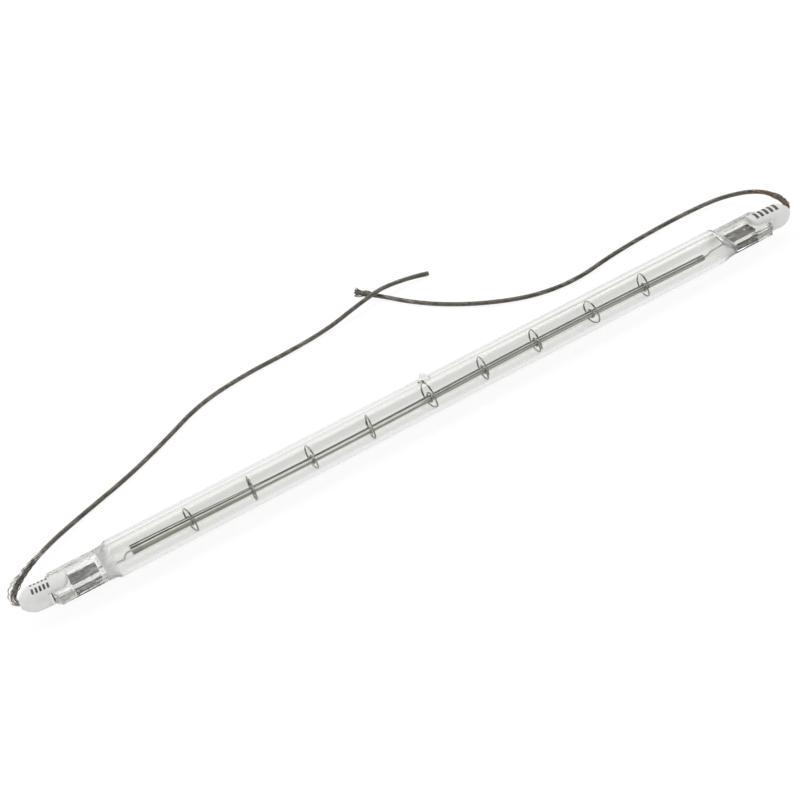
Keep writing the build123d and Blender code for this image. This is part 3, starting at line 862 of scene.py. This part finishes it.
def filament_support(index, material):
    """One wire support: a turn round the coil, a half round arm outward and a loop in the tube.

    All three are arcs in one plane, which is turned about the tube's axis and then leant to one side.
    """
    loop_radius, lift, loop_end = WIDE_LOOP if index == MIDDLE_SUPPORT else PLAIN_LOOP
    arm_radius = (SUPPORT_GRIP_RADIUS + loop_radius) / 2
    grip = np.radians(np.linspace(-SUPPORT_GRIP_TURN, 0, 40))
    arm = np.radians(np.linspace(0, SUPPORT_ARM_TURN, 30)[1:])
    loop = np.radians(np.linspace(SUPPORT_ARM_TURN, loop_end, 60)[1:])
    across = np.concatenate([
        SUPPORT_GRIP_RADIUS * np.cos(grip),
        SUPPORT_GRIP_RADIUS - arm_radius + arm_radius * np.cos(arm),
        loop_radius * np.cos(loop),
    ])
    up = np.concatenate([
        SUPPORT_GRIP_RADIUS * np.sin(grip),
        arm_radius * np.sin(arm),
        loop_radius * np.sin(loop),
    ])
    turn, tilt = np.radians(SUPPORT_POSES[index])
    y = across * np.cos(turn) - up * np.sin(turn)
    z = across * np.sin(turn) + up * np.cos(turn)
    place = SUPPORT_MIDDLE + (index - MIDDLE_SUPPORT) * SUPPORT_PITCH + SUPPORT_SHIFTS[index]
    follow = np.concatenate([np.ones(grip.size), np.linspace(1, 0, arm.size), np.zeros(loop.size)])
    z += COIL_Z + follow * (coil_height(place) - COIL_Z) + (1 - follow) * lift
    path = np.column_stack([place - y * np.sin(tilt), y * np.cos(tilt), z])
    lean = (np.cos(tilt), np.sin(tilt), 0.0)
    rings = wire_rings(path, np.full(len(path), SUPPORT_WIRE / 2), SUPPORT_SIDES, lean)
    node = f"filament_support_{index + 1}"
    return piece_of_rings(f"wire_support_{index + 1}", [rings], material, [node])


def inner_lead(side, material):
    """The stiff wire from the foil: it slopes down straight, jogs to the coil and ends in a thicker plug."""
    x = np.linspace(WELD_END, PLUG_END, 90)
    jog = smooth_step(JOG_END, JOG_START, x)
    y = INNER_LEAD_OFFSETS[side] * jog
    sag = np.clip((LEAD_BEND - x) / (LEAD_BEND - JOG_START), 0, 1) * INNER_LEAD_DROPS[side]
    middle = coil_height(SIDES[side] * x)
    z = middle + (FOIL_Z - sag - middle) * jog
    path = np.column_stack([SIDES[side] * x, y, z])
    wire = wire_rings(path, np.full(len(path), STIFF_WIRE / 2), STIFF_WIRE_SIDES, (0.0, 0.0, 1.0))
    seat = np.linspace(COIL_HALF, PLUG_END, 8)
    core = np.column_stack([SIDES[side] * seat, np.zeros(seat.size), coil_height(SIDES[side] * seat)])
    plug = wire_rings(core, np.full(seat.size, PLUG_RADIUS), PLUG_SIDES, (0.0, 0.0, 1.0))
    return piece_of_rings(f"stiff_lead_{side}", [wire, plug], material, [f"inner_lead_{side}"])


def foil_strip(side, material):
    """A thin strip with feathered edges: a flat ellipse carried along it, gently waved in height.

    Its near edge is torn by the sum of two sines, and the right one's far corner is cut.
    """
    x = np.linspace(FOIL_STARTS[side], FOIL_END, 50)[:, None]
    angle = round_angles(48)
    cut = np.maximum(x - (FOIL_END - FOIL_CORNER_CUT), 0) if side == "right" else 0 * x
    y = FOIL_HALF_WIDTH * np.cos(angle)
    y = np.minimum(y, FOIL_HALF_WIDTH - cut)
    torn = 1 + ripple(x, FOIL_TEAR_WAVES)
    y = np.maximum(y, FOIL_TEARS[side] * torn - FOIL_HALF_WIDTH)
    wave = ripple(x, [(height, along, across * y) for height, along, across in FOIL_FACE_WAVES])
    z = FOIL_Z + wave + FOIL_THICKNESS / 2 * np.sin(angle)
    rings = np.stack([np.broadcast_to(x, y.shape), FOIL_MIDDLE + y, z], axis=-1)
    middle = np.stack([rings[..., 0], rings[..., 1], FOIL_Z + wave], axis=-1)
    rings = np.concatenate([middle[:1], rings, middle[-1:]])
    placed = to_side(side, rings)
    off = np.hypot(placed[..., 0] - WELD_SPOT[0], placed[..., 1] - WELD_SPOT[1])
    marks = {"weld": [1 - smooth_step(0.5 * WELD_SPOT_RADIUS, WELD_SPOT_RADIUS, off)]}
    return piece_of_rings(f"foil_strip_{side}", [placed], material, [f"seal_foil_{side}"], marks)


def cap_body():
    """The cap's turned body: its outline goes round once, over the nose, through the lead hole and back."""
    profile = np.array([
        (CAP_START, CAP_BORE_RADIUS), (CAP_START, CAP_RADIUS - 0.25), (CAP_START + 0.07, CAP_RADIUS - 0.07),
        (CAP_START + 0.25, CAP_RADIUS), (NOSE_START - 0.5, CAP_RADIUS), (NOSE_START - 0.1, CAP_RADIUS - 0.04),
        (NOSE_START + 0.3, CAP_RADIUS - 0.16), (NOSE_START + 0.8, CAP_RADIUS - 0.37),
        (BEVEL_END - 0.35, BEVEL_RADIUS + 0.15), (BEVEL_END - 0.05, BEVEL_RADIUS - 0.03),
        (BEVEL_END + 0.2, BEVEL_RADIUS - 0.3), (CAP_END - 0.35, TIP_RADIUS + 0.42),
        (CAP_END - 0.1, TIP_RADIUS + 0.15), (CAP_END, TIP_RADIUS - 0.05), (CAP_END, HOLE_RADIUS + 0.1),
        (CAP_END - 0.1, HOLE_RADIUS), (CAP_BORE_END, HOLE_RADIUS), (CAP_BORE_END, CAP_BORE_RADIUS),
        (CAP_START, CAP_BORE_RADIUS),
    ])
    angle = round_angles(96)
    x, radius = profile[:, :1], profile[:, 1:]
    return rings_at(x, radius * np.cos(angle), radius * np.sin(angle))


def cap_tongue():
    """The upper tongue over the seal: flat below, round above at the cap's radius, with a round tip in plan.

    Each side's half width is less by its corner's circle near the tip; the far side reaches further in.
    """
    tip = TONGUE_START + TONGUE_NEAR_CORNER * (1 - np.cos(np.linspace(0, np.pi / 2, 22)))
    x = np.concatenate([tip, [CAP_START + TONGUE_ROOT]])[:, None]
    angle = round_angles(64)
    corner = np.where(np.cos(angle) > 0, TONGUE_FAR_CORNER, TONGUE_NEAR_CORNER)
    into = np.maximum(TONGUE_START + corner - x, 0)
    half = TONGUE_HALF_WIDTH - corner + np.sqrt(np.maximum(corner**2 - into**2, 0))
    y = half * blunt(np.cos(angle), TONGUE_BLUNTNESS)
    top = np.sqrt(CAP_RADIUS**2 - y**2)
    z = TONGUE_INNER + (top - TONGUE_INNER) * (0.5 + 0.5 * blunt(np.sin(angle), TONGUE_BLUNTNESS))
    rings = rings_at(x, y, z)
    closed = rings[[0, -1]].copy()
    closed[..., 2] = AXIS_Z + (TONGUE_INNER + CAP_RADIUS) / 2
    return np.concatenate([closed[:1], rings, closed[1:]])


def end_cap(side, material):
    """The ceramic cap of one end: its turned body and its two tongues.

    On the upper half, marks give the place in the ink rows: the share along them and across the lower one.
    """
    lofts = [cap_body(), cap_tongue(), turned_under(cap_tongue())]
    near, far = INK_REACHES[side]
    low, high = INK_ANGLES[side]
    order = slice(None, None, int(SIDES[side]))
    marks = {"axial": [], "around": []}
    for rings in lofts:
        height = rings[..., 2] - AXIS_Z
        axial = np.where(height > 0, (rings[..., 0] - CAP_START - near) / (far - near), -1.0)
        around = np.degrees(np.arctan2(np.maximum(height, 0), rings[..., 1]))
        marks["axial"].append(axial[order])
        marks["around"].append(((around - low) / (high - low))[order])
    lofts = [at_end(side, rings) for rings in lofts]
    nodes = [f"end_cap_{side}"]
    return piece_of_rings(f"ceramic_cap_{side}", lofts, material, nodes, marks, sharp=35.0)


def cement_fill(rng):
    """Cement in the slot above the seal's web: a blunt bar with a lumpy edge where it was squeezed out."""
    x = np.linspace(CEMENT_START, SEAL_END - CEMENT_GAP, 40)[:, None]
    angle = round_angles(64)
    phases = rng.uniform(0, TURN, len(CEMENT_WAVES))
    waves = [(*wave, phase) for wave, phase in zip(CEMENT_WAVES, phases)]
    into = np.maximum(CEMENT_START + CEMENT_TIP - x, 0)
    tip = np.sqrt(np.maximum(CEMENT_TIP**2 - into**2, 0)) - CEMENT_TIP
    half = CEMENT_HALF_WIDTH + tip + ripple(x, waves)
    share = 0.5 + 0.5 * blunt(np.sin(angle), CEMENT_BLUNTNESS)
    z = WEB_REST + CEMENT_GAP + share * (CEMENT_TOP - WEB_REST - CEMENT_GAP)
    rings = rings_at(x, half * blunt(np.cos(angle), CEMENT_BLUNTNESS), z)
    closed = rings[[0, -1]].mean(axis=1, keepdims=True) + 0 * rings[[0, -1]]
    return np.concatenate([closed[:1], rings, closed[1:]])


def cement_pad():
    """The cement between the seal's end and the cap's body: a short blunt ellipse with a lumpy rim."""
    x, swell = np.split(np.array(PAD_RINGS), 2, axis=1)
    angle = round_angles(60)
    lump = swell * (1 + ripple(angle, PAD_LUMPS))
    y = PAD_HALF_WIDTH * lump * blunt(np.cos(angle), PAD_BLUNTNESS)
    z = PAD_HALF_HEIGHT * lump * blunt(np.sin(angle), PAD_BLUNTNESS)
    return closed_flat(rings_at(x, y, z))


def cement_joint(side, material):
    """The cement of one end: a bar above and below the seal's web and a pad at its end."""
    rng = np.random.default_rng(CEMENT_SEEDS[side])
    upper = cement_fill(rng)
    lower = turned_under(cement_fill(rng))
    lofts = [to_side(side, upper), to_side(side, lower), at_end(side, cement_pad())]
    return piece_of_rings(f"cement_joint_{side}", lofts, material, [f"cap_cement_{side}"])


def dress_node(node, material):
    """A node of the frame that is shown as it is, with its material."""
    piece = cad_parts[node]
    piece.data.materials.clear()
    piece.data.materials.append(material)


def studio_camera():
    """The photograph's camera: aimed at a point on the table and rolled about its own axis."""
    camera = bpy.data.objects.new("studio_camera", bpy.data.cameras.new("studio_camera"))
    aim = (Vector(CAMERA_AIM) - Vector(CAMERA_PLACE)).to_track_quat("-Z", "Y")
    camera.location = CAMERA_PLACE
    camera.rotation_mode = "QUATERNION"
    camera.rotation_quaternion = aim @ Quaternion((0, 0, 1), np.radians(CAMERA_ROLL))
    camera.data.sensor_width = 36.0
    camera.data.lens = CAMERA_LENS
    bpy.context.scene.collection.objects.link(camera)
    bpy.context.scene.camera = camera


def white_floor():
    """A wide white table: white to the camera, to glass and to metal, with a part of its own shading kept."""
    mesh = bpy.data.meshes.new("white_floor")
    corners = [(x * FLOOR_REACH, y * FLOOR_REACH, 0) for x, y in ((-1, -1), (1, -1), (1, 1), (-1, 1))]
    mesh.from_pydata(corners, [], [(0, 1, 2, 3)])
    floor = bpy.data.objects.new("white_floor", mesh)
    floor.location = (0, 0, -FLOOR_DROP)
    bpy.context.scene.collection.objects.link(floor)
    material = bpy.data.materials.new("white_floor")
    material.use_nodes = True
    tree = material.node_tree
    tree.nodes.clear()
    ray = add(tree, "ShaderNodeLightPath")
    seen = combine(tree, "MAXIMUM", ray.outputs["Is Camera Ray"], ray.outputs["Is Glossy Ray"])
    seen = combine(tree, "MAXIMUM", seen, ray.outputs["Is Transmission Ray"])
    share = combine(tree, "MULTIPLY", seen, FLOOR_GLOW_SHARE)
    shade = add(tree, "ShaderNodeBsdfDiffuse", {"Color": FLOOR_GREY})
    glow = add(tree, "ShaderNodeEmission", {"Color": (1, 1, 1, 1), "Strength": FLOOR_GLOW})
    mixed = add(tree, "ShaderNodeMixShader")
    tree.links.new(share, mixed.inputs["Fac"])
    tree.links.new(shade.outputs["BSDF"], mixed.inputs[1])
    tree.links.new(glow.outputs["Emission"], mixed.inputs[2])
    output = add(tree, "ShaderNodeOutputMaterial")
    tree.links.new(mixed.outputs["Shader"], output.inputs["Surface"])
    mesh.materials.append(material)


def studio_sky():
    """Soft light round the lamp, as a row of tones over the tube from the camera's side to the back.

    The place in the row is the angle about the tube's axis: a long bright panel stands above and behind
    the lamp, the sky is dim over the camera and pale low down at the back.
    """
    world = bpy.data.worlds.new("studio_sky")
    bpy.context.scene.world = world
    world.use_nodes = True
    tree = world.node_tree
    background = tree.nodes["Background"]
    place = add(tree, "ShaderNodeTexCoord")
    parts = add(tree, "ShaderNodeSeparateXYZ")
    tree.links.new(place.outputs["Generated"], parts.inputs["Vector"])
    front = combine(tree, "MULTIPLY", parts.outputs["Y"], -1.0)
    angle = combine(tree, "ARCTAN2", parts.outputs["Z"], front)
    row = combine(tree, "DIVIDE", angle, float(np.pi))
    stops = [(degrees / 180, (tone, tone, tone)) for degrees, tone in SKY_TONES]
    level = combine(tree, "MULTIPLY", tint(tree, row, stops), SKY_LEVEL)
    tree.links.new(level, background.inputs["Strength"])
    background.inputs["Color"].default_value = (1, 1, 1, 1)


bpy.context.scene.view_settings.view_transform = "Standard"
studio_camera()
strands = strand_nickel()
quartz = clear_quartz()
tungsten = tungsten_coil()
bright_wire = bare_metal("support_wire")
dull_wire = bare_metal("stiff_wire")
ceramic = white_ceramic()
cement = cap_cement()
nickel = bare_metal("sleeve_nickel")
for side in SIDES:
    flexible_lead(side, strands)
quartz_envelope(quartz)
filament_coil(tungsten)
for index in range(len(SUPPORT_POSES)):
    filament_support(index, bright_wire)
for side in SIDES:
    inner_lead(side, dull_wire)
    foil_strip(side, seal_foil(side))
    end_cap(side, ceramic)
    cement_joint(side, cement)
    dress_node(f"outer_lead_{side}", dull_wire)
    dress_node(f"splice_sleeve_{side}", nickel)
white_floor()
studio_sky()
